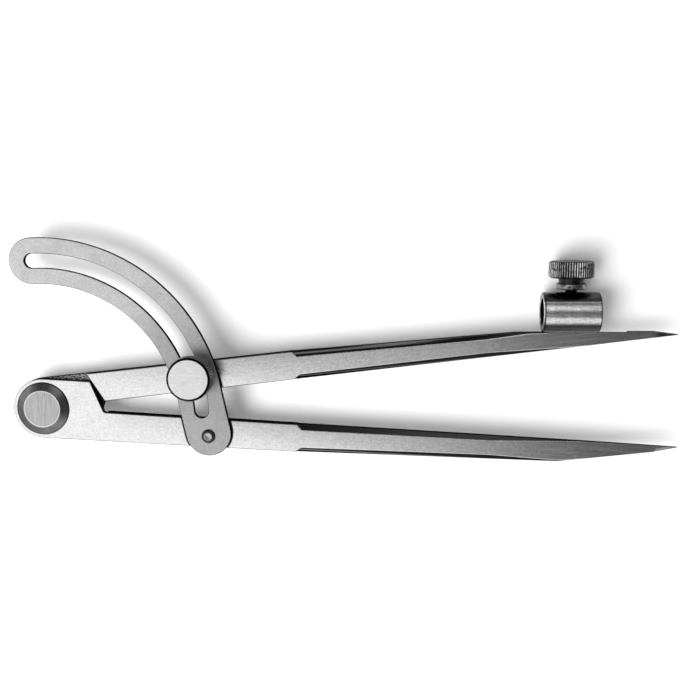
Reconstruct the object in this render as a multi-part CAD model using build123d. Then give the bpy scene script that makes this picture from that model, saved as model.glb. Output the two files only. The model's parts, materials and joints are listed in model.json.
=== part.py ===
from build123d import *
import math
import os

# Wing compass with a pencil sleeve: two flat steel legs on a halved joint, a slotted arc that swivels
# on a rivet in one leg and is clamped to the other by a knurled screw, and a sleeve for a pencil
# with a knurled screw of its own. Millimetres.
# Working frame: the pivot axis is Z, leg A's inner edge runs along +X, Z = 0 is the legs' mid-plane
# and +Z is the front, the side with the arc.

# Legs: distances along a leg are from the pivot axis or, where named so, back from the point
leg_length = 242.5
leg_thickness = 4.2
opening_at_rest = 10.0           # degrees between the inner edges
closing_gap = 0.15               # between the inner edges when the compass is shut
bevel_start = 99.0
width_at_bevel_start = 10.9
turn_from_point_a = 44.5         # where leg A's outer edge turns in towards its point
width_at_turn_a = 8.3
turn_from_point_b = 54.7
width_at_turn_b = 8.0
facet_from_point = 8.5           # the last short slope of the outer edge
width_at_facet = 2.5
point_width = 0.35
point_thickness = 0.8
thinning_from_point = 70.0       # both faces slope in from here
bevel_width = 1.8                # on all four long edges
bevel_depth = 0.85
facet_bevel_width = 1.5
facet_edge_thickness = 0.35

# Halved joint
head_radius = 11.7
lap_gap = 0.1                    # between the two half-thickness heads
shoulder_angle = 26.0            # of the shoulders, from square across the leg
shoulder_distance = 22.1         # pivot axis to a shoulder's line, square to it
ear_clearance = 0.6              # between an ear and the other leg's shoulder, when shut
notch_radius = 0.9

# Pivot rivet, with a cone head in front and a cone washer at the back
pivot_radius = 5.0
pivot_tail_radius = 3.6
cone_margin = 1.4                # head's rim outside the cone
cone_top_radius = 7.15
cone_height = 1.5
cone_land = 0.25                 # straight rim under the cone
tail_flare = 0.9                 # how far the riveted tail spreads in the washer's countersink
press_fit_gap = 0.02
running_gap = 0.05               # radial or face gap of everything that turns or slides

# Arc plate (the wing)
wing_thickness = 2.0
wing_width = 17.5
slot_width = 5.4
arc_centre_x = 1.9
arc_centre_y = -3.7
slot_near_angle = 6.6            # degrees about the arc's centre, to the slot's end centres
slot_far_angle = 95.6
tail_angle = 12.0                # where the plate runs on straight to its rivet
tail_cap_offset = 1.1            # centre of the plate's round tail, above the rivet
wing_edge = 0.25

# Wing rivet, through the arc's tail and leg A
wing_rivet_station = 65.4
wing_rivet_inset = 6.4           # from leg A's inner edge
wing_rivet_radius = 2.0
wing_rivet_head_radius = 2.7
wing_rivet_head_height = 1.0
wing_rivet_head_slope = 0.8
wing_rivet_dimple_radius = 1.0
wing_rivet_dimple_depth = 0.35
wing_rivet_countersink = 1.1

# Knurled clamp screws: both have the same head, neck and collar
knob_diameter = 16.8
knob_height = 6.3
knob_edge = 0.6
knurl_pitch = 0.93
knurl_depth = 0.42
knob_core_inset = 0.05            # core's side below the knurl's roots
neck_diameter = 9.3
neck_height = 1.9
collar_diameter = 11.0
collar_height = 2.2
collar_edge = 0.3
screw_tip_chamfer = 0.5

# Wing clamp screw, threaded into leg B
wing_screw_thread = 4.0
wing_screw_distance = 61.64      # pivot axis to screw axis
wing_screw_inset = 6.38          # screw axis to leg B's inner edge
wing_screw_end_gap = 0.3         # screw end short of leg B's back face

# Pencil sleeve, brazed into a saddle in leg B's outer edge, and its clamp screw
sleeve_diameter = 15.0
sleeve_bore = 10.0
sleeve_length = 21.0
sleeve_from_point = 39.1
sleeve_saddle_depth = 0.5
sleeve_edge = 0.6
sleeve_bore_edge = 0.4
braze_gap = 0.02
pencil_screw_thread = 4.5
pencil_screw_lift = 1.1          # collar above the sleeve
pencil_screw_tip_gap = 0.3       # screw tip short of the bore


half_thickness = leg_thickness / 2
half_gap = closing_gap / 2
cone_base_radius = head_radius - cone_margin
cutter_reach = 3 * head_radius
shoulder_cos = math.cos(math.radians(shoulder_angle))
shoulder_sin = math.sin(math.radians(shoulder_angle))
wing_floor = half_thickness + running_gap
wing_top = wing_floor + wing_thickness
wing_screw_angle = math.degrees(math.asin(wing_screw_inset / wing_screw_distance))


def polar(distance, degrees, centre=(0, 0)):
    """A point in the plane, at a distance and an angle from a centre."""
    angle = math.radians(degrees)
    return (centre[0] + distance * math.cos(angle), centre[1] + distance * math.sin(angle))


def shoulder_x(distance, y):
    """Where the sloping line of a shoulder or an ear lies, y away from the leg's inner edge."""
    return (distance - abs(y) * shoulder_sin) / shoulder_cos


wing_screw_spot = polar(wing_screw_distance, opening_at_rest + wing_screw_angle)
wing_rivet_spot = (wing_rivet_station, -wing_rivet_inset)
arc_centre = (arc_centre_x, arc_centre_y)
slot_radius = math.dist(arc_centre, wing_screw_spot)


def outer_edge(turn_from_point, width_at_turn):
    """Leg A's outer edge, from the head to the point."""
    return [
        (0, -head_radius),
        (bevel_start, -width_at_bevel_start),
        (leg_length - turn_from_point, -width_at_turn),
        (leg_length - facet_from_point, -width_at_facet),
        (leg_length, -point_width),
    ]


def leg_plan(edge):
    """Outline of a leg seen from the front, with its round head and the ear over the other leg."""
    blade = Polygon(*edge, (leg_length, -half_gap), (0, -half_gap), align=None)
    ear_line = shoulder_distance - ear_clearance
    ear = Polygon(
        (0, -head_radius),
        (shoulder_x(ear_line, 0), -half_gap),
        (shoulder_x(ear_line, head_radius), head_radius),
        (0, head_radius),
        align=None,
    )
    plan = blade + ear + Circle(head_radius)
    notch = plan.vertices().sort_by_distance((shoulder_x(ear_line, 0), -half_gap))[0]
    return fillet(notch, notch_radius)


def lap_cut():
    """Back half of the thickness, taken away where the other leg's head lies."""
    region = Polygon(
        (-cutter_reach, -cutter_reach),
        (shoulder_x(shoulder_distance, cutter_reach), -cutter_reach),
        (shoulder_x(shoulder_distance, 0), 0),
        (shoulder_x(shoulder_distance, 0), cutter_reach),
        (-cutter_reach, cutter_reach),
        align=None,
    )
    return Pos(0, 0, lap_gap / 2) * extrude(region, -leg_thickness)


def side_envelope():
    """The leg's shape seen from its edge: level, then thinned evenly to the point."""
    thin_start = leg_length - thinning_from_point
    profile = Polygon(
        (-cutter_reach, -half_thickness),
        (thin_start, -half_thickness),
        (leg_length, -point_thickness / 2),
        (leg_length, point_thickness / 2),
        (thin_start, half_thickness),
        (-cutter_reach, half_thickness),
        align=None,
    )
    return extrude(Plane.XZ * profile, cutter_reach, both=True)


def bevel(start, end, edge_z, face_z, width, inward):
    """Wedge that takes the front corner off a straight edge, with a 45 degree run-out at its start.

    inward is +1 where the leg lies to the left of the way from start to end, and -1 to the right.
    The sloping face passes edge_z on the edge and face_z at the given width in from it.
    """
    along = Vector(end[0] - start[0], end[1] - start[1]).normalized()
    across = Vector(-along.Y, along.X) * inward
    section = Plane(origin=(start[0], start[1], edge_z), x_dir=across + along, z_dir=along - across)
    skew = math.sqrt(2)
    rise = (face_z - edge_z) * section.y_dir.Z
    wedge = Polygon(
        (2 * width * skew, 2 * rise),
        (-width * skew, 2 * rise),
        (-width * skew, -rise),
        align=None,
    )
    reach = math.dist(start, end) + width
    return extrude(section * wedge, reach, dir=along)


def front_bevels(edge):
    """The bevels of a leg's front face: both long edges and the short facet at the point."""
    long_edge = (half_thickness - bevel_depth, half_thickness, bevel_width)
    facet_face = half_thickness - (half_thickness - point_thickness / 2) * (
        1 - facet_from_point / thinning_from_point
    )
    facet = (facet_edge_thickness / 2, facet_face, facet_bevel_width)
    inner_start = (bevel_start, -half_gap)
    inner_end = (leg_length, -half_gap)
    turn_start = Vector(*edge[2]) - (Vector(*edge[3]) - Vector(*edge[2])).normalized() * bevel_width
    return [
        bevel(inner_start, inner_end, *long_edge, -1),
        bevel(edge[1], edge[2], *long_edge, 1),
        bevel((turn_start.X, turn_start.Y), edge[3], *long_edge, 1),
        bevel(edge[3], edge[4], *facet, 1),
    ]


def make_leg(turn_from_point, width_at_turn, pivot_gap):
    """One leg, lying as leg A does, with its front half reaching over the pivot."""
    edge = outer_edge(turn_from_point, width_at_turn)
    leg = extrude(leg_plan(edge), half_thickness, both=True) & side_envelope()
    leg -= lap_cut()
    for wedge in front_bevels(edge):
        leg -= wedge
        leg -= mirror(wedge, Plane.XY)
    return leg - Cylinder(pivot_radius + pivot_gap, 2 * leg_thickness)


def place_leg_b(shape):
    """Turn a shape made in leg A's place over into leg B's, opened to the rest angle."""
    return Rot(0, 0, opening_at_rest) * Rot(180, 0, 0) * shape


def make_leg_a():
    leg = make_leg(turn_from_point_a, width_at_turn_a, press_fit_gap)
    hole = Cylinder(wing_rivet_radius + press_fit_gap, 2 * leg_thickness)
    flare = Cone(
        wing_rivet_radius + wing_rivet_countersink + press_fit_gap,
        wing_rivet_radius + press_fit_gap,
        wing_rivet_countersink,
        align=(Align.CENTER, Align.CENTER, Align.MIN),
    )
    return leg - Pos(*wing_rivet_spot) * (hole + Pos(0, 0, -half_thickness) * flare)


def make_leg_b():
    leg = place_leg_b(make_leg(turn_from_point_b, width_at_turn_b, running_gap))
    leg -= Pos(*wing_screw_spot) * Cylinder(wing_screw_thread / 2 + running_gap, 2 * leg_thickness)
    return leg - sleeve_place() * Cylinder(sleeve_diameter / 2 + braze_gap, 2 * sleeve_length)


def revolve_profile(*points):
    """Solid of revolution about Z from a closed outline of (radius, height) points."""
    return revolve(Plane.XZ * Polygon(*points, align=None), Axis.Z)


def make_pivot_rivet():
    washer_face = -half_thickness - running_gap
    end = washer_face - cone_height
    return revolve_profile(
        (0, half_thickness + cone_height),
        (cone_top_radius, half_thickness + cone_height),
        (cone_base_radius, half_thickness + cone_land),
        (cone_base_radius, half_thickness),
        (pivot_radius, half_thickness),
        (pivot_radius, washer_face),
        (pivot_tail_radius, washer_face),
        (pivot_tail_radius, end + tail_flare),
        (pivot_tail_radius + tail_flare, end),
        (0, end),
    )


def make_pivot_washer():
    face = -half_thickness - running_gap
    end = face - cone_height
    bore = pivot_tail_radius + press_fit_gap
    return revolve_profile(
        (bore, face),
        (cone_base_radius, face),
        (cone_base_radius, face - cone_land),
        (cone_top_radius, end),
        (bore + tail_flare, end),
        (bore, end + tail_flare),
    )


def arc_band(width, near_angle, far_angle):
    """Band of the given width along the slot's arc, without its round ends."""
    inner = slot_radius - width / 2
    outer = slot_radius + width / 2
    middle = (near_angle + far_angle) / 2
    near_in, near_out = polar(inner, near_angle, arc_centre), polar(outer, near_angle, arc_centre)
    far_in, far_out = polar(inner, far_angle, arc_centre), polar(outer, far_angle, arc_centre)
    outline = (
        Line(near_in, near_out)
        + ThreePointArc(near_out, polar(outer, middle, arc_centre), far_out)
        + Line(far_out, far_in)
        + ThreePointArc(far_in, polar(inner, middle, arc_centre), near_in)
    )
    return make_face(outline)


def wing_tail():
    """Straight end of the plate, from its arc to the round end about the rivet."""
    tail_end = (wing_rivet_spot[0], wing_rivet_spot[1] + tail_cap_offset)
    half = wing_width / 2
    joint = polar(slot_radius, tail_angle, arc_centre)
    way = (Vector(*joint) - Vector(*tail_end)).normalized()
    side = Vector(-way.Y, way.X) * half
    centre = Vector(*tail_end)
    straight = Polygon(
        (centre.X - side.X, centre.Y - side.Y),
        polar(slot_radius + half, tail_angle, arc_centre),
        polar(slot_radius - half, tail_angle, arc_centre),
        (centre.X + side.X, centre.Y + side.Y),
        align=None,
    )
    return straight + Pos(*tail_end) * Circle(half)


def make_wing():
    far_end = polar(slot_radius, slot_far_angle, arc_centre)
    near_end = polar(slot_radius, slot_near_angle, arc_centre)
    plate = arc_band(wing_width, tail_angle, slot_far_angle) + wing_tail()
    plate += Pos(*far_end) * Circle(wing_width / 2)
    slot = arc_band(slot_width, slot_near_angle, slot_far_angle)
    slot += Pos(*far_end) * Circle(slot_width / 2) + Pos(*near_end) * Circle(slot_width / 2)
    hole = Pos(*wing_rivet_spot) * Circle(wing_rivet_radius + running_gap)
    blank = extrude(plate - slot, wing_thickness)
    blank = chamfer(blank.edges() - blank.edges().filter_by(Axis.Z), wing_edge)
    return Pos(0, 0, wing_floor) * (blank - extrude(hole, wing_thickness))


def make_wing_rivet():
    seat = wing_top + running_gap
    top = seat + wing_rivet_head_height
    rivet = revolve_profile(
        (0, -half_thickness),
        (wing_rivet_radius + wing_rivet_countersink, -half_thickness),
        (wing_rivet_radius, wing_rivet_countersink - half_thickness),
        (wing_rivet_radius, seat),
        (wing_rivet_head_radius, seat),
        (wing_rivet_head_radius, top - wing_rivet_head_slope),
        (wing_rivet_head_radius - wing_rivet_head_slope, top),
        (wing_rivet_dimple_radius, top),
        (0, top - wing_rivet_dimple_depth),
    )
    return Pos(*wing_rivet_spot) * rivet


def knurl_section():
    """Outline of a straight knurl: pointed teeth round the knob's edge."""
    teeth = round(math.pi * knob_diameter / knurl_pitch)
    crest = knob_diameter / 2
    root = crest - knurl_depth
    points = []
    for tooth in range(teeth):
        points.append(polar(crest, 360 * tooth / teeth))
        points.append(polar(root, 360 * (tooth + 0.5) / teeth))
    return Polygon(*points, align=None)


def knurled_knob(bottom):
    """Knob standing on a height: a core with bevelled ends, the teeth round its middle."""
    top = bottom + knob_height
    core_radius = knob_diameter / 2 - knurl_depth - knob_core_inset
    face_radius = core_radius - knob_edge
    core = revolve_profile(
        (0, bottom),
        (face_radius, bottom),
        (core_radius, bottom + knob_edge),
        (core_radius, top - knob_edge),
        (face_radius, top),
        (0, top),
    )
    teeth = extrude(knurl_section(), knob_height - 2 * knob_edge)
    return core + Pos(0, 0, bottom + knob_edge) * teeth


def clamp_screw(thread_diameter, thread_length):
    """Knurled screw along Z, its collar's underside at Z = 0 and its thread below."""
    neck_top = collar_height + neck_height
    thread_radius = thread_diameter / 2
    stem = revolve_profile(
        (0, neck_top),
        (neck_diameter / 2, neck_top),
        (neck_diameter / 2, collar_height),
        (collar_diameter / 2 - collar_edge, collar_height),
        (collar_diameter / 2, collar_height - collar_edge),
        (collar_diameter / 2, 0),
        (thread_radius, 0),
        (thread_radius, screw_tip_chamfer - thread_length),
        (thread_radius - screw_tip_chamfer, -thread_length),
        (0, -thread_length),
    )
    return knurled_knob(neck_top) + stem


def make_wing_clamp_screw():
    seat = wing_top + running_gap
    length = seat + half_thickness - wing_screw_end_gap
    return Pos(wing_screw_spot[0], wing_screw_spot[1], seat) * clamp_screw(wing_screw_thread, length)


def sleeve_place():
    """Where the sleeve lies: its axis on local Z, along leg B's sloping outer edge."""
    edge = outer_edge(turn_from_point_b, width_at_turn_b)
    turn, facet = Vector(*edge[2]), Vector(*edge[3])
    along = (facet - turn).normalized()
    outward = Vector(along.Y, -along.X)
    station = (leg_length - sleeve_from_point - turn.X) / along.X
    centre = turn + along * station + outward * (sleeve_diameter / 2 - sleeve_saddle_depth)
    return place_leg_b(Plane(origin=centre, x_dir=outward, z_dir=along).location)


def make_pencil_sleeve():
    sleeve = Cylinder(sleeve_diameter / 2, sleeve_length)
    sleeve = chamfer(sleeve.edges().filter_by(GeomType.CIRCLE), sleeve_edge)
    sleeve -= Cylinder(sleeve_bore / 2, sleeve_length)
    rims = sleeve.edges().filter_by(GeomType.CIRCLE)
    bore_rims = [rim for rim in rims if math.isclose(rim.radius, sleeve_bore / 2)]
    sleeve = chamfer(bore_rims, sleeve_bore_edge)
    threaded_hole = Cylinder(
        pencil_screw_thread / 2 + running_gap, sleeve_diameter, align=(Align.CENTER, Align.CENTER, Align.MIN)
    )
    return sleeve_place() * (sleeve - Rot(0, 90, 0) * threaded_hole)


def make_pencil_clamp_screw():
    collar_face = sleeve_diameter / 2 + pencil_screw_lift
    length = collar_face - sleeve_bore / 2 - pencil_screw_tip_gap
    screw = Pos(0, 0, collar_face) * clamp_screw(pencil_screw_thread, length)
    return sleeve_place() * (Rot(0, 90, 0) * screw)


def build_parts():
    """Every piece in the working frame, by name."""
    return {
        "leg_a": make_leg_a(),
        "leg_b": make_leg_b(),
        "pivot_rivet": make_pivot_rivet(),
        "pivot_washer": make_pivot_washer(),
        "wing": make_wing(),
        "wing_rivet": make_wing_rivet(),
        "wing_clamp_screw": make_wing_clamp_screw(),
        "pencil_sleeve": make_pencil_sleeve(),
        "pencil_clamp_screw": make_pencil_clamp_screw(),
    }


def base_offset(parts):
    """The move that puts the origin under the middle of the whole compass, at its lowest point."""
    box = Compound(children=[part.solid() for part in parts.values()]).bounding_box()
    return Pos(-(box.min.X + box.max.X) / 2, -(box.min.Y + box.max.Y) / 2, -box.min.Z)


parts = build_parts()
offset = base_offset(parts)
os.makedirs("parts", exist_ok=True)
for name, part in parts.items():
    export_step(offset * part, f"parts/{name}.step")
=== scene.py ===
import json
import math

import bmesh
import bpy
from mathutils import Matrix, Vector

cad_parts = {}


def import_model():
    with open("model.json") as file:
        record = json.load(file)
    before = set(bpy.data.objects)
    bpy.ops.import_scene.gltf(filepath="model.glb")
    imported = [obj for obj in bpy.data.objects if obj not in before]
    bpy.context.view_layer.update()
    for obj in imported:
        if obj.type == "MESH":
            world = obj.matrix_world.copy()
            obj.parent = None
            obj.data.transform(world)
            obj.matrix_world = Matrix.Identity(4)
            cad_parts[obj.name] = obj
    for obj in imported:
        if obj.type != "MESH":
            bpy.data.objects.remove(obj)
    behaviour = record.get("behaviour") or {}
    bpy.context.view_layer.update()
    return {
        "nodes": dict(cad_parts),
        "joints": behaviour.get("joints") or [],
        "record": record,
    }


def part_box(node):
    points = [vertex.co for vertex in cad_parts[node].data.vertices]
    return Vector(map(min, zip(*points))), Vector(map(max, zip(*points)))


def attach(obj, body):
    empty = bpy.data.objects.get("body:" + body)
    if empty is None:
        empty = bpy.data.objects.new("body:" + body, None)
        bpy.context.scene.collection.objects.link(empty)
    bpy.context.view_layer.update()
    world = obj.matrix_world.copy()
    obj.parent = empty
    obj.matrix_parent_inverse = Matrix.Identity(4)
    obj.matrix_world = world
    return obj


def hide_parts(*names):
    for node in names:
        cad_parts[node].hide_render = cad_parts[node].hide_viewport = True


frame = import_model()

# Sizes are in millimetres, and mm turns them into the scene's metres.
mm = 0.001

# The photograph's camera, placed from the pivot: above the legs and to its right.
camera_place = (135.37, 77.67, 337.09)
camera_tilt = (-7.97, 3.40, 2.85)
lens = 46.29
film_width = 36.0

# Edges broken with a file or a brush.
leg_edge = 0.32
leg_edge_stop = 60.0                 # the outline stays keen this far from the point
bevel_edge = 0.16
bevel_edge_stop = 10.0
point_edge = 0.05
wing_edge = 0.15
turned_edge = 0.12
round_segments = 2
turned_steps = 144                   # flats round a turned piece
rivet_steps = 72
rivet_flank_steps = 7

# A leg's face: its width where the bevels start, how fast it narrows, and its faint crown.
leg_width_at_bevels = 10.9
leg_bevels_start = 99.0
leg_taper = 0.033
crown_start = (20.0, 35.0)           # from the pivot; the crown comes in between these
crown_radius = 140.0

# A leg's darker parts, painted as shade. Leg A is the lower one in the photograph.
point_start_a = 239.0                # from the pivot; the end beyond it is painted darker, a painted shade for its dark end facets
point_start_b = 232.5
point_fade = 4.0
wall_shade_a = 0.06                  # painted shade: share of the face's brightness that the walls keep
wall_shade_b = 0.015
ledge_pits_start = (8.0, 11.0)       # beside the pivot; the lap's ledge is pitted beyond them, and nearer the pivot its deep corner is painted black as shadow
plate_edge_shine = 0.05

# The wing's straight tail on leg A: its direction, half its width, and its round end from the rivet.
wing_tail_turn = 105.2
wing_half_width = 8.75
wing_tail_end = 1.1
# The painted contact shadow on leg A round the wing's tail: its width beyond the tail, its shift and its
# soft edge.
contact_shadow_width = 0.75
contact_shadow_shift = -0.3
contact_shadow_fade = 0.2
rivet_shade_reach = (32.0, 64.0)         # from the wing's rivet; the plate is painted darker inside them, a painted shade

# Pivot rivet and washer.
cone_top_radius = 7.15
cone_land = 0.25
pivot_shank_radius = 5.0
pivot_tail_radius = 3.6
pivot_tail_flare = 0.9
press_gap = 0.02
cone_foot_shade = (9.8, 10.15)       # the cone's foot is painted darker between these radii, a painted contact shadow

# Wing rivet.
rivet_head_radius = 2.7
rivet_shank_radius = 2.0
rivet_crown_radius = 1.25
rivet_dimple_depth = 0.35
rivet_countersink = 1.1
rivet_head_height = 1.0

# Pencil sleeve.
sleeve_radius = 7.5
sleeve_bore_radius = 5.0
sleeve_length = 21.0
sleeve_round = 0.6
sleeve_bore_break = 0.4
leg_side_shade_end = (-4.5, -3.3)        # from the sleeve's axis towards its screw; below these, on the side against leg B, the sleeve is painted dark as shade
# Past these, along its top on the screw's side, the sleeve is painted black: painted shade.
screw_side_shade_start = (4.2, 4.6)

# Both clamp screws.
knob_radius = 8.38
knob_height = 6.3
knob_chamfer = 1.06
knob_chamfer_height = 0.6
neck_radius = 4.65
neck_height = 1.9
collar_radius = 5.5
collar_height = 2.2
collar_break = 0.3
tip_break = 0.5
knurl_teeth = 57
knurl_depth = 0.42
tooth_shape = (0.0, 0.3, 1.0, 0.3)   # depth below the crest, step by step across one tooth
wing_thread_radius = 2.0
pencil_thread_radius = 2.25
thread_pitch = 0.7
thread_depth = 0.3
thread_stop = 0.35                   # the thread ends this far below the collar
thread_neck = 0.15
thread_neck_depth = 0.2
collar_wear = 0.65

# Light.
key_direction = (-0.49, -0.32, 0.81)
key_distance = 1000.0
key_width = 720.0
key_power = 12.0
window_light = 1.27
near_strip_light = 1.1
far_strip_light = 2.0
ceiling_light = 0.58
wall_light = 0.5
dim_light = 0.10                     # the room where nothing shines
floor_drop = 0.05
floor_width = 6000.0
floor_white = 0.8
floor_glow = 0.07

records = frame["record"]["behaviour"]
body_of_node = {node: body for body, nodes in records["bodies"].items() for node in nodes}
joints = {joint["name"]: joint for joint in frame["joints"]}
hinge_place = Vector(joints["leg_hinge"]["pos_m"])
leg_b_turn = 10.0                    # leg B's direction from leg A's, in degrees
sleeve_axis = Vector(joints["pencil_screw_turn"]["axis"]).cross(Vector((0, 0, 1)))


class Reading:
    """A shader socket that can be reckoned with as a number."""

    def __init__(self, finish, socket):
        self.finish = finish
        self.socket = socket

    def reckon(self, operation, first, second=0.0):
        return self.finish.add("ShaderNodeMath", {"operation": operation}, {0: first, 1: second})

    def __add__(self, other):
        return self.reckon("ADD", self, other)

    def __radd__(self, other):
        return self.reckon("ADD", other, self)

    def __sub__(self, other):
        return self.reckon("SUBTRACT", self, other)

    def __rsub__(self, other):
        return self.reckon("SUBTRACT", other, self)

    def __mul__(self, other):
        return self.reckon("MULTIPLY", self, other)

    def __rmul__(self, other):
        return self.reckon("MULTIPLY", other, self)

    def __truediv__(self, other):
        return self.reckon("DIVIDE", self, other)

    def __abs__(self):
        return self.reckon("ABSOLUTE", self)

    def at_least(self, floor):
        return self.reckon("MAXIMUM", self, floor)

    def at_most(self, ceiling):
        return self.reckon("MINIMUM", self, ceiling)

    def step(self, low, high):
        """0 below low, 1 above high, and a smooth rise between."""
        return self.finish.add(
            "ShaderNodeMapRange",
            {"interpolation_type": "SMOOTHSTEP"},
            {"Value": self, "From Min": low, "From Max": high},
        )


class Finish:
    """A node tree, filled one node at a time."""

    def __init__(self, tree):
        self.tree = tree
        tree.nodes.clear()

    def add(self, kind, settings=None, sockets=None, output=0):
        """A new node: its settings, then the values or links of its sockets. Gives one of its outputs."""
        node = self.tree.nodes.new(kind)
        for name, value in (settings or {}).items():
            setattr(node, name, value)
        for key, value in (sockets or {}).items():
            if isinstance(value, Reading):
                self.tree.links.new(value.socket, node.inputs[key])
            else:
                node.inputs[key].default_value = value
        return Reading(self, node.outputs[output]) if node.outputs else None

    def coordinate(self, output):
        """One of the surface's own coordinates, by name."""
        return self.add("ShaderNodeTexCoord", output=output)

    def parts(self, vector):
        """The vector's x, y and z."""
        return [self.add("ShaderNodeSeparateXYZ", sockets={0: vector}, output=axis) for axis in range(3)]

    def local(self, centre, turn=0.0, sizes=(1.0, 1.0, 1.0)):
        """Object coordinates from a centre, turned in the plan, in units of the sizes in mm."""
        return self.add(
            "ShaderNodeMapping",
            {"vector_type": "TEXTURE"},
            {
                "Vector": self.coordinate("Object"),
                "Location": tuple(centre),
                "Rotation": (0.0, 0.0, math.radians(turn)),
                "Scale": tuple(size * mm for size in sizes),
            },
        )

    def plan_distance(self, centre):
        """Distance from a centre in mm, as seen from above."""
        flattened = self.local(centre, 0.0, (1.0, 1.0, 1e6))
        return self.length(flattened)

    def length(self, vector):
        return self.add("ShaderNodeVectorMath", {"operation": "LENGTH"}, {0: vector}, output=1)

    def noise(self, vector, detail=2.0, roughness=0.5):
        """Uneven grey from 0 to 1, its grains one unit of the vector across."""
        return self.add(
            "ShaderNodeTexNoise",
            sockets={"Vector": vector, "Scale": 1.0, "Detail": detail, "Roughness": roughness},
        )

    def bump(self, height, depth):
        """Surface relief of the given depth in mm."""
        return self.add(
            "ShaderNodeBump",
            sockets={"Height": height, "Distance": depth * mm, "Strength": 1.0},
        )

    def metal(self, colour, roughness, relief, edge_shine=1.0):
        """A metal surface; edge_shine below 1 dulls what is seen at a glancing angle."""
        shader = self.add(
            "ShaderNodeBsdfPrincipled",
            sockets={
                "Base Color": colour,
                "Roughness": roughness,
                "Metallic": 1.0,
                "Specular Tint": (edge_shine, edge_shine, edge_shine, 1.0),
                "Normal": relief,
            },
        )
        self.add("ShaderNodeOutputMaterial", sockets={"Surface": shader})


def new_finish(name):
    """A new material and its node tree."""
    material = bpy.data.materials.new(name)
    material.use_nodes = True
    return material, Finish(material.node_tree)


def facing_up(finish):
    """1 on faces that lie flat, falling to 0 on the walls, both sides alike."""
    return abs(finish.parts(finish.coordinate("Normal"))[2])


def crown(finish, turn):
    """Height of a leg's faintly crowned face, in mm, from the distance to its middle line."""
    along, across = finish.parts(finish.local(hinge_place, turn))[:2]
    middle = (leg_width_at_bevels - (along - leg_bevels_start) * leg_taper) / 2
    off = abs(across) - middle
    return off * off * along.step(*crown_start) * (-0.5 / crown_radius)


def wing_contact_shadow(finish):
    """1 on leg A under the wing's tail and on a narrow line round it: a painted contact shadow of the
    wing.
    """
    place = Vector(joints["wing_swivel"]["pos_m"]) + Vector((contact_shadow_shift, wing_tail_end, 0.0)) * mm
    up_tail, across = finish.parts(finish.local(place, wing_tail_turn))[:2]
    spot = finish.add("ShaderNodeCombineXYZ", sockets={0: up_tail.at_most(0.0), 1: across})
    rim = wing_half_width + contact_shadow_width
    return 1 - finish.length(spot).step(rim - contact_shadow_fade, rim + contact_shadow_fade)


def leg_steel(name, turn, point_start, wall_shade, shaded_by_wing=False):
    """Ground steel brushed along a leg; its dull walls, bevels and point painted dark as shade, and a
    pitted ledge in the lap, cut by milling, painted dark as shade.
    """
    material, finish = new_finish(name)
    fine = finish.noise(finish.local(hinge_place, turn, (14.0, 0.16, 0.16)), detail=3.0, roughness=0.6)
    coarse = finish.noise(finish.local(hinge_place, turn, (26.0, 0.7, 0.7)), detail=2.0)
    blotches = finish.noise(finish.local(hinge_place, turn, (9.0, 5.0, 5.0)), detail=3.0, roughness=0.65)
    flat = facing_up(finish)
    wall = 1 - flat.step(0.6, 0.93)
    bevel = flat.step(0.7, 0.85) * (1 - flat.step(0.93, 0.97))
    across, height = finish.parts(finish.local(hinge_place))[1:]
    along = finish.parts(finish.local(hinge_place, turn))[0]
    point = along.step(point_start, point_start + point_fade)
    ledge = (1 - abs(height).step(0.15, 0.4)) * flat.step(0.8, 0.95)
    pits = finish.noise(finish.local(hinge_place, turn, (0.9, 0.5, 0.5)), detail=4.0, roughness=0.7)
    mottle = finish.noise(finish.local(hinge_place, turn, (0.9, 0.8, 0.8)), detail=3.0, roughness=0.6)
    shade = 0.67 + (fine - 0.5) * 0.18 + (coarse - 0.5) * 0.10
    shade = shade + (blotches - 0.5) * 0.12 + (mottle - 0.5) * 0.36
    # Painted shade: the walls keep only their share of the face's brightness, the bevels are painted near
    # black, and the point is painted darker.
    shade = shade * (1 - wall * (1 - wall_shade)) * (1 - bevel * 0.955) * (1 - point * 0.80)
    # Painted shade: the lap's recessed ledge is painted near black with lighter pits, and its deep corner
    # by the pivot stays black as painted shadow.
    milled_and_shaded = 0.03 + pits.step(0.42, 0.66) * across.step(*ledge_pits_start) * 0.6
    shade = shade * (1 - ledge) + milled_and_shaded * ledge
    # Painted contact shadow on leg A round the wing's tail.
    if shaded_by_wing:
        shade = shade * (1 - wing_contact_shadow(finish) * 0.95)
    rough = 0.22 + (coarse - 0.5) * 0.14 + wall * 0.14 + ledge * 0.2
    relief = finish.bump(fine * 0.011 + pits * ledge * 0.066 + crown(finish, turn), 1.0)
    finish.metal(shade, rough, relief, plate_edge_shine)
    return material


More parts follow.
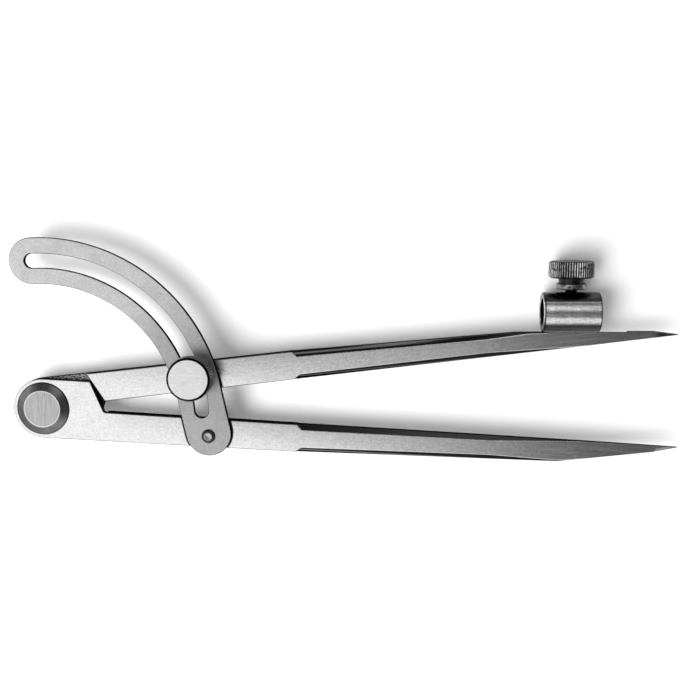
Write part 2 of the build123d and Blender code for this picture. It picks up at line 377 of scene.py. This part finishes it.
def wing_steel():
    """The wing's plate: an even satin finish with a little mottling and a few long scratches, painted
    darker near its rivet and on its walls as shade.
    """
    material, finish = new_finish("wing satin steel")
    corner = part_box("wing")[0]
    fine = finish.noise(finish.local(corner, 62.0, (6.0, 0.18, 0.18)), detail=3.0, roughness=0.6)
    cross = finish.noise(finish.local(corner, -20.0, (3.0, 0.3, 0.3)), detail=2.0)
    blotches = finish.noise(finish.local(corner, 0.0, (7.0, 7.0, 7.0)), detail=4.0, roughness=0.65)
    grain = finish.noise(finish.local(corner, 0.0, (0.7, 0.7, 0.7)), detail=4.0, roughness=0.7)
    near_rivet_shade = 1 - finish.plan_distance(Vector(joints["wing_swivel"]["pos_m"])).step(*rivet_shade_reach)
    wall = 1 - facing_up(finish).step(0.8, 0.985)
    shade = 0.70 + (fine - 0.5) * 0.10 + (cross - 0.5) * 0.12
    shade = shade + (blotches - 0.5) * 0.45 + (grain - 0.5) * 0.60
    # Painted shade: darker near the rivet, and near black on the walls.
    shade = shade * (1 - near_rivet_shade * 0.34) * (1 - wall * 0.97)
    rough = 0.40 + (blotches - 0.5) * 0.16 + wall * 0.1
    finish.metal(shade, rough, finish.bump(fine * 0.7 + cross * 0.5, 0.012), plate_edge_shine)
    return material


def pivot_steel():
    """Pivot rivet: a face brushed one way inside a turned cone; the cone is painted darker as shade, with
    a painted highlight at the face's rim and a painted contact shadow at the cone's foot.
    """
    material, finish = new_finish("pivot turned steel")
    height = finish.parts(finish.local(hinge_place))[2]
    radius = finish.plan_distance(hinge_place)
    cone = radius.step(cone_top_radius - 0.05, cone_top_radius + 0.1)
    strokes = finish.noise(finish.local(hinge_place, 0.0, (0.24, 6.0, 5.0)), detail=3.0, roughness=0.7)
    broad = finish.noise(finish.local(hinge_place, 0.0, (1.3, 14.0, 5.0)), detail=2.0)
    turned_lines = finish.add("ShaderNodeCombineXYZ", sockets={0: radius * 6.0, 1: height * 6.0})
    rings = finish.noise(turned_lines, detail=2.0)
    smears = finish.noise(finish.local(hinge_place, 0.0, (3.0, 3.0, 3.0)), detail=3.0)
    # Painted highlight: a thin bright ring at the face's rim.
    rim = radius.step(cone_top_radius - 0.45, cone_top_radius - 0.2)
    face = 0.44 + (strokes - 0.5) * 0.70 + (broad - 0.5) * 0.12 + rim * 0.3
    # Painted shade: the cone is darker than the face, and darker still at its foot as a contact shadow.
    foot = radius.step(*cone_foot_shade)
    side = (0.17 + (rings - 0.5) * 0.10 + (smears - 0.5) * 0.16) * (1 - foot * 0.8)
    shade = face * (1 - cone) + side * cone
    rough = 0.36 - cone * 0.04 + (broad - 0.5) * 0.1
    relief = finish.bump(strokes * (1 - cone) + rings * cone * 0.5, 0.02)
    finish.metal(shade, rough, relief)
    return material


def rivet_steel():
    """The wing rivet's hammered head: a dented crown painted bright as a highlight, and flanks painted
    dark as shade.
    """
    material, finish = new_finish("wing rivet hammered steel")
    place = Vector(joints["wing_swivel"]["pos_m"])
    radius = finish.plan_distance(place)
    top = 1 - radius.step(rivet_crown_radius - 0.1, rivet_crown_radius + 0.5)
    dents = finish.noise(finish.local(place, 0.0, (0.75, 0.75, 0.75)), detail=3.0, roughness=0.6)
    # Painted highlight on the crown and painted shade on the flanks.
    shade = 0.07 + top * 0.42 + (dents - 0.5) * 0.3 * top
    rough = 0.38 - top * 0.06
    finish.metal(shade, rough, finish.bump(dents, 0.16))
    return material


def sleeve_steel():
    """Pencil sleeve: turned steel with fine rings, painted dark as shade against the leg, along its top,
    in its bore and at its rounded ends.
    """
    material, finish = new_finish("sleeve turned steel")
    low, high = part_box("pencil_sleeve")
    centre = (low + high) / 2
    turn = math.degrees(math.atan2(sleeve_axis.y, sleeve_axis.x))
    rings = finish.noise(finish.local(centre, turn, (0.14, 9.0, 9.0)), detail=3.0, roughness=0.6)
    bands = finish.noise(finish.local(centre, turn, (0.8, 12.0, 12.0)), detail=2.0)
    blotches = finish.noise(finish.local(centre, turn, (2.5, 3.5, 3.5)), detail=4.0, roughness=0.6)
    along, up_screw, height = finish.parts(finish.local(centre, turn))
    streaks = finish.noise(finish.local(centre, turn, (3.0, 0.5, 0.5)), detail=4.0, roughness=0.7)
    off_axis = finish.add("ShaderNodeCombineXYZ", sockets={0: up_screw, 1: height})
    bore = 1 - finish.length(off_axis).step(sleeve_bore_radius + 0.05, sleeve_bore_radius + 0.3)
    darkened = 1 - up_screw.step(*leg_side_shade_end) + up_screw.step(*screw_side_shade_start)
    short_of_end = sleeve_length / 2 - abs(along)
    rim = short_of_end.step(0.05, 0.2) * (1 - short_of_end.step(0.5, 0.8))
    shade = 0.56 + (rings - 0.5) * 0.4 + (bands - 0.5) * 0.12
    shade = shade + (blotches - 0.5) * 0.2 + (streaks - 0.5) * 0.8
    # Painted shade: in the bore, against the leg, along the top and at the rounded ends.
    shade = shade * (1 - bore * 0.95) * (1 - darkened * 0.9) * (1 - rim * 0.8)
    rough = 0.25 + (blotches - 0.5) * 0.12
    finish.metal(shade, rough, finish.bump(rings, 0.02))
    return material


def knob_steel():
    """Wing clamp screw: bright steel, the knob's face brushed one way, its side painted near black as
    shade with the knurl's crests a little lighter.
    """
    material, finish = new_finish("clamp screw bright steel")
    centre = Vector(joints["wing_screw_turn"]["pos_m"])
    strokes = finish.noise(finish.local(centre, 8.0, (2.6, 0.32, 5.0)), detail=4.0, roughness=0.7)
    broad = finish.noise(finish.local(centre, 4.0, (5.0, 1.2, 9.0)), detail=2.0)
    flat = facing_up(finish).step(0.95, 0.99)
    crest_wear_and_shade = finish.add("ShaderNodeAttribute", {"attribute_name": "crest_wear_and_shade"}, output="Fac")
    # Painted shade: the knob's side and chamfer near black, the knurl's crests a little lighter than its
    # valleys.
    side = 0.005 + crest_wear_and_shade.step(0.62, 0.80) * 0.30
    face = 0.77 + (strokes - 0.5) * 0.55 + (broad - 0.5) * 0.2
    shade = side * (1 - flat) + face * flat
    rough = 0.34 + (broad - 0.5) * 0.1
    finish.metal(shade, rough, finish.bump(strokes * flat, 0.02))
    return material


def blackened_steel():
    """Pencil clamp screw: blackened, rubbed bright on the crests of its knurl."""
    material, finish = new_finish("clamp screw blackened steel")
    centre = Vector(joints["pencil_screw_turn"]["pos_m"])
    grime = finish.noise(finish.local(centre, 0.0, (1.1, 1.1, 1.1)), detail=4.0, roughness=0.6)
    fine = finish.noise(finish.local(centre, 0.0, (0.25, 0.25, 0.25)), detail=2.0)
    crest_wear_and_shade = finish.add("ShaderNodeAttribute", {"attribute_name": "crest_wear_and_shade"}, output="Fac")
    rubbed = crest_wear_and_shade.step(0.45, 1.0) * grime.step(0.30, 0.60)
    shade = 0.035 + (grime - 0.5) * 0.04 + rubbed * 0.78
    rough = 0.36 + (fine - 0.5) * 0.12 - rubbed * 0.06
    finish.metal(shade, rough, finish.bump(fine + grime, 0.008))
    return material


def finish_mesh(name, bm, sharp_angle=38.0):
    """The bmesh as an object whose flat faces stay flat beside their broken edges."""
    for face in bm.faces:
        face.smooth = True
    mesh = bpy.data.meshes.new(name)
    bm.to_mesh(mesh)
    bm.free()
    mesh.set_sharp_from_angle(angle=math.radians(sharp_angle))
    piece = bpy.data.objects.new(name, mesh)
    bpy.context.scene.collection.objects.link(piece)
    weighted = piece.modifiers.new("flat faces", "WEIGHTED_NORMAL")
    weighted.keep_sharp = True
    return piece


def dress(piece, node, material):
    """Lets the piece stand for the node, on the node's body, in the given finish."""
    piece.data.materials.append(material)
    cad = frame["nodes"][node]
    cad.data.materials.clear()
    cad.data.materials.append(material)
    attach(piece, body_of_node[node])
    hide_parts(node)


def break_edges(bm, width, above=20.0, below=181.0, where=None, clamp=True):
    """Rounds the edges that turn by an angle between two limits, everywhere or where it is asked."""
    sharp = [
        edge
        for edge in bm.edges
        if edge.is_manifold
        and math.radians(above) < edge.calc_face_angle() < math.radians(below)
        and (where is None or all(where(vert.co) for vert in edge.verts))
    ]
    bmesh.ops.bevel(
        bm,
        geom=sharp,
        offset=width * mm,
        offset_type="OFFSET",
        segments=round_segments,
        profile=0.5,
        affect="EDGES",
        clamp_overlap=clamp,
        material=-1,
    )


def plate_copy(node):
    """A CAD plate's faces, merged into whole ones."""
    bm = bmesh.new()
    bm.from_mesh(frame["nodes"][node].data)
    bmesh.ops.remove_doubles(bm, verts=bm.verts, dist=0.001 * mm)
    bmesh.ops.dissolve_limit(bm, angle_limit=math.radians(0.5), verts=bm.verts, edges=bm.edges)
    return bm


def make_leg(name, node, material):
    """A leg with its outline and bevels rounded by the brush, and its point left keen."""
    bm = plate_copy(node)
    length = max((vert.co - hinge_place).length for vert in bm.verts) / mm

    def before(stop):
        return lambda place: (place - hinge_place).length / mm < length - stop

    break_edges(bm, leg_edge, above=50.0, where=before(leg_edge_stop), clamp=False)
    break_edges(bm, bevel_edge, above=20.0, below=50.0, where=before(bevel_edge_stop), clamp=False)
    break_edges(bm, point_edge, above=20.0, below=50.0)
    dress(finish_mesh(name, bm), node, material)


def make_wing(material):
    """The slotted plate, with its edges broken all round."""
    bm = plate_copy("wing")
    break_edges(bm, wing_edge, clamp=False)
    dress(finish_mesh("wing_satin", bm), "wing", material)


def lathe(profile, closed=False, steps=turned_steps):
    """Turns a profile of (radius, height) points about Z; a closed one makes a ring."""
    bm = bmesh.new()
    verts = [bm.verts.new((radius * mm, 0.0, height * mm)) for radius, height in profile]
    ends = verts[1:] + verts[:1] if closed else verts[1:]
    edges = [bm.edges.new(pair) for pair in zip(verts, ends)]
    bmesh.ops.spin(
        bm,
        geom=verts + edges,
        cent=(0.0, 0.0, 0.0),
        axis=(0.0, 0.0, 1.0),
        angle=math.tau,
        steps=steps,
        use_merge=True,
    )
    bmesh.ops.remove_doubles(bm, verts=bm.verts, dist=0.0001 * mm)
    bmesh.ops.recalc_face_normals(bm, faces=bm.faces)
    return bm


def stand(bm, origin, axis):
    """Moves what was turned about Z to its origin and axis."""
    turn = axis.to_track_quat("Z", "Y").to_matrix().to_4x4()
    bmesh.ops.transform(bm, matrix=Matrix.Translation(origin) @ turn, verts=bm.verts)


def quarter_round(radius, height, size, steps=4):
    """Points of a rounded corner about (radius, height), from its side to its top."""
    points = []
    for step in range(steps + 1):
        angle = math.radians(90.0 * step / steps)
        points.append((radius + size * math.cos(angle), height + size * math.sin(angle)))
    return points


def heights(node):
    """A node's lowest and highest points above the hinge's mid-plane, in mm."""
    low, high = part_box(node)
    return (low[2] - hinge_place.z) / mm, (high[2] - hinge_place.z) / mm


def half_width(node):
    """Half of a node's length along X, in mm: the largest radius of a piece that stands upright."""
    low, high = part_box(node)
    return (high[0] - low[0]) / 2 / mm


def make_pivot_rivet(material):
    """Cone head on leg A's face, a shank through both legs, and a tail spread into the washer."""
    end, top = heights("pivot_rivet")
    washer_face = heights("pivot_washer")[1]
    face = heights("leg_a")[1]
    base = half_width("pivot_rivet")
    bm = lathe([
        (0.0, top),
        (cone_top_radius, top),
        (base, face + cone_land),
        (base, face),
        (pivot_shank_radius, face),
        (pivot_shank_radius, washer_face),
        (pivot_tail_radius, washer_face),
        (pivot_tail_radius, end + pivot_tail_flare),
        (pivot_tail_radius + pivot_tail_flare, end),
        (0.0, end),
    ])
    break_edges(bm, turned_edge)
    stand(bm, hinge_place, Vector((0, 0, 1)))
    dress(finish_mesh("pivot_rivet_turned", bm), "pivot_rivet", material)


def make_pivot_washer(material):
    """The cone washer at the back, countersunk for the rivet's tail."""
    end, face = heights("pivot_washer")
    base = half_width("pivot_washer")
    bore = pivot_tail_radius + press_gap
    bm = lathe([
        (bore, face),
        (base, face),
        (base, face - cone_land),
        (cone_top_radius, end),
        (bore + pivot_tail_flare, end),
        (bore, end + pivot_tail_flare),
    ], closed=True)
    break_edges(bm, turned_edge)
    stand(bm, hinge_place, Vector((0, 0, 1)))
    dress(finish_mesh("pivot_washer_turned", bm), "pivot_washer", material)


def make_wing_rivet(material):
    """A domed head with a dimple from the punch, a shank, and a countersunk tail behind leg A."""
    end, top = heights("wing_rivet")
    seat = top - rivet_head_height
    crown = [
        (0.0, top - rivet_dimple_depth),
        (0.5, top - rivet_dimple_depth * 0.8),
        (0.95, top - rivet_dimple_depth * 0.25),
        (rivet_crown_radius, top),
    ]
    shoulder = rivet_head_radius - rivet_crown_radius
    flank = []
    for step in range(1, rivet_flank_steps + 1):
        angle = math.radians(90.0 - 90.0 * step / rivet_flank_steps)
        flank.append((
            rivet_crown_radius + shoulder * math.cos(angle),
            seat + rivet_head_height * math.sin(angle),
        ))
    tail = half_width("wing_rivet")
    bm = lathe(crown + flank + [
        (rivet_shank_radius, seat),
        (rivet_shank_radius, end + rivet_countersink),
        (tail, end),
        (0.0, end),
    ], steps=rivet_steps)
    place = Vector(joints["wing_swivel"]["pos_m"])
    stand(bm, Vector((place.x, place.y, hinge_place.z)), Vector((0, 0, 1)))
    dress(finish_mesh("wing_rivet_hammered", bm), "wing_rivet", material)


def make_sleeve(material):
    """The pencil sleeve: a tube with rounded ends and a broken bore, along leg B's edge."""
    half = sleeve_length / 2
    corner = sleeve_radius - sleeve_round
    outside = quarter_round(corner, half - sleeve_round, sleeve_round)
    inside = [
        (sleeve_bore_radius + sleeve_bore_break, half),
        (sleeve_bore_radius, half - sleeve_bore_break),
        (sleeve_bore_radius, sleeve_bore_break - half),
        (sleeve_bore_radius + sleeve_bore_break, -half),
    ]
    below = [(radius, -height) for radius, height in reversed(outside)]
    bm = lathe(outside + inside + below, closed=True)
    low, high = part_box("pencil_sleeve")
    stand(bm, (low + high) / 2, sleeve_axis)
    dress(finish_mesh("pencil_sleeve_turned", bm), "pencil_sleeve", material)


def reach(node, origin, axis):
    """How far the node reaches along an axis either way from an origin, in mm."""
    along = [(vert.co - origin).dot(axis) / mm for vert in frame["nodes"][node].data.vertices]
    return min(along), max(along)


def thread_profile(radius, low, high):
    """Flanks of a screw thread between two heights."""
    turns = int((high - low) / thread_pitch)
    points = []
    for turn in range(turns):
        root = low + thread_pitch * (turn + 0.5)
        points.append((radius - thread_depth, root))
        points.append((radius, root + thread_pitch / 2))
    return points


def screw_profile(thread_radius, tip):
    """A clamp screw's outline, from its tip to its knob's face; height 0 is under the collar."""
    neck_top = collar_height + neck_height
    top = neck_top + knob_height
    face_radius = knob_radius - knob_chamfer
    return (
        [(0.0, tip), (thread_radius - tip_break, tip), (thread_radius, tip + tip_break)]
        + thread_profile(thread_radius, tip + tip_break, -thread_stop)
        + [
            (thread_radius - thread_neck_depth, -thread_neck),
            (thread_radius - thread_neck_depth, 0.0),
            (collar_radius - collar_break, 0.0),
            (collar_radius, collar_break),
            (collar_radius, collar_height - collar_break),
            (collar_radius - collar_break, collar_height),
            (neck_radius, collar_height),
            (neck_radius, neck_top),
            (face_radius, neck_top),
            (knob_radius, neck_top + knob_chamfer_height),
            (knob_radius, top - knob_chamfer_height),
            (face_radius, top),
            (0.0, top),
        ]
    )


def cut_knurl(bm, bottom, top):
    """Presses the teeth into the knob's side, and marks their crests and the collar's rim, for wear and
    for the painted shade between the teeth.
    """
    crest_wear_and_shade = bm.verts.layers.float.new("crest_wear_and_shade")
    steps = knurl_teeth * len(tooth_shape)
    for vert in bm.verts:
        radius = math.hypot(vert.co.x, vert.co.y) / mm
        height = vert.co.z / mm
        fade = min(1.0, max(0.0, (radius - (knob_radius - knob_chamfer)) / knob_chamfer))
        if bottom < height < top and fade > 0.0:
            step = round(math.atan2(vert.co.y, vert.co.x) / math.tau * steps) % len(tooth_shape)
            depth = tooth_shape[step] * knurl_depth * fade
            vert.co.xy *= (radius - depth) / radius
            vert[crest_wear_and_shade] = (1.0 - tooth_shape[step]) * fade
        elif abs(radius - collar_radius) < 0.01:
            vert[crest_wear_and_shade] = collar_wear


def make_clamp_screw(node, joint, thread_radius, material):
    """A knurled screw on its joint's axis, its face and its tip level with the CAD screw's."""
    origin = Vector(joints[joint]["pos_m"])
    axis = Vector(joints[joint]["axis"])
    low, high = reach(node, origin, axis)
    head = collar_height + neck_height + knob_height
    seat = high - head
    bm = lathe(screw_profile(thread_radius, low - seat), steps=knurl_teeth * len(tooth_shape))
    cut_knurl(bm, collar_height + neck_height, head)
    stand(bm, origin + axis * seat * mm, axis)
    dress(finish_mesh(node + "_knurled", bm, 30.0), node, material)


def make_camera():
    """The photograph's camera."""
    camera = bpy.data.cameras.new("camera")
    camera.lens = lens
    camera.sensor_width = film_width
    camera.sensor_fit = "HORIZONTAL"
    camera.clip_start = 0.01
    camera.clip_end = 50.0
    holder = bpy.data.objects.new("camera", camera)
    holder.location = hinge_place + Vector(camera_place) * mm
    holder.rotation_euler = [math.radians(angle) for angle in camera_tilt]
    bpy.context.scene.collection.objects.link(holder)
    bpy.context.scene.camera = holder


def make_floor():
    """A white floor that keeps the object's shadow, with a faint glow of its own for the camera."""
    bm = bmesh.new()
    bmesh.ops.create_grid(bm, x_segments=1, y_segments=1, size=floor_width / 2 * mm)
    bmesh.ops.translate(bm, vec=(0.0, 0.0, -floor_drop * mm), verts=bm.verts)
    mesh = bpy.data.meshes.new("floor")
    bm.to_mesh(mesh)
    bm.free()
    floor = bpy.data.objects.new("floor", mesh)
    bpy.context.scene.collection.objects.link(floor)
    material, finish = new_finish("white floor")
    seen = (
        finish.add("ShaderNodeLightPath", output="Is Camera Ray")
        + finish.add("ShaderNodeLightPath", output="Is Glossy Ray")
        + finish.add("ShaderNodeLightPath", output="Is Transmission Ray")
    )
    white = (1.0, 1.0, 1.0, 1.0)
    pale = (floor_white, floor_white, floor_white, 1.0)
    matt = finish.add("ShaderNodeBsdfDiffuse", sockets={"Color": pale})
    glow = finish.add("ShaderNodeEmission", sockets={"Color": white, "Strength": seen * floor_glow})
    both = finish.add("ShaderNodeAddShader", sockets={0: matt, 1: glow})
    finish.add("ShaderNodeOutputMaterial", sockets={"Surface": both})
    mesh.materials.append(material)


def bright_patch(side, depth, side_reach, depth_reach):
    """1 inside an oval of the ceiling, falling softly to 0 at its rim.

    side and depth are read from the oval's middle, and its half-lengths are the two reaches.
    """
    across = side / side_reach
    along = depth / depth_reach
    return 1 - (across * across + along * along).step(0.85, 1.15)


def make_room():
    """A dim room: a tall window on the left, two strip lamps, a faint ceiling and pale walls."""
    world = bpy.data.worlds.new("room")
    bpy.context.scene.world = world
    world.use_nodes = True
    finish = Finish(world.node_tree)
    x, y, z = finish.parts(finish.coordinate("Generated"))
    up = z.at_least(0.05)
    side = x / up
    depth = y / up
    window = bright_patch(side + depth * 1.2 + 1.27, depth - 0.1, 0.90, 1.4)
    near_strip = bright_patch(side + 0.4, depth + 1.2, 1.3, 0.8)
    far_strip = bright_patch(side - 0.10, depth - 0.60, 0.12, 0.42)
    ceiling = (1 - side.step(0.02, 0.24)) * (1 - abs(depth + 0.20).step(0.0, 0.36))
    walls = 1 - z.step(0.25, 0.70)
    light = (window * window_light).at_least(near_strip * near_strip_light)
    light = light.at_least(far_strip * far_strip_light).at_least(ceiling * ceiling_light)
    light = light.at_least(walls * wall_light) + dim_light
    glow = finish.add("ShaderNodeBackground", sockets={"Color": (1.0, 1.0, 1.0, 1.0), "Strength": light})
    finish.add("ShaderNodeOutputWorld", sockets={"Surface": glow})


def make_key_lamp():
    """A large lamp over the picture's lower left. It throws soft shadows; the metal doesn't show it."""
    light = bpy.data.lights.new("key", "AREA")
    light.shape = "DISK"
    light.size = key_width * mm
    light.energy = key_power
    lamp = bpy.data.objects.new("key", light)
    direction = Vector(key_direction).normalized()
    lamp.location = direction * key_distance * mm
    lamp.rotation_euler = direction.to_track_quat("Z", "Y").to_euler()
    lamp.visible_glossy = False
    bpy.context.scene.collection.objects.link(lamp)


make_camera()
make_floor()
make_room()
make_key_lamp()

leg_a_steel = leg_steel("leg A brushed steel", 0.0, point_start_a, wall_shade_a, shaded_by_wing=True)
leg_b_steel = leg_steel("leg B brushed steel", leg_b_turn, point_start_b, wall_shade_b)
make_leg("leg_a_brushed", "leg_a", leg_a_steel)
make_leg("leg_b_brushed", "leg_b", leg_b_steel)
make_wing(wing_steel())
turned = pivot_steel()
make_pivot_rivet(turned)
make_pivot_washer(turned)
make_wing_rivet(rivet_steel())
make_sleeve(sleeve_steel())
make_clamp_screw("wing_clamp_screw", "wing_screw_turn", wing_thread_radius, knob_steel())
make_clamp_screw(
    "pencil_clamp_screw", "pencil_screw_turn", pencil_thread_radius, blackened_steel()
)

bpy.context.scene.view_settings.view_transform = "Standard"
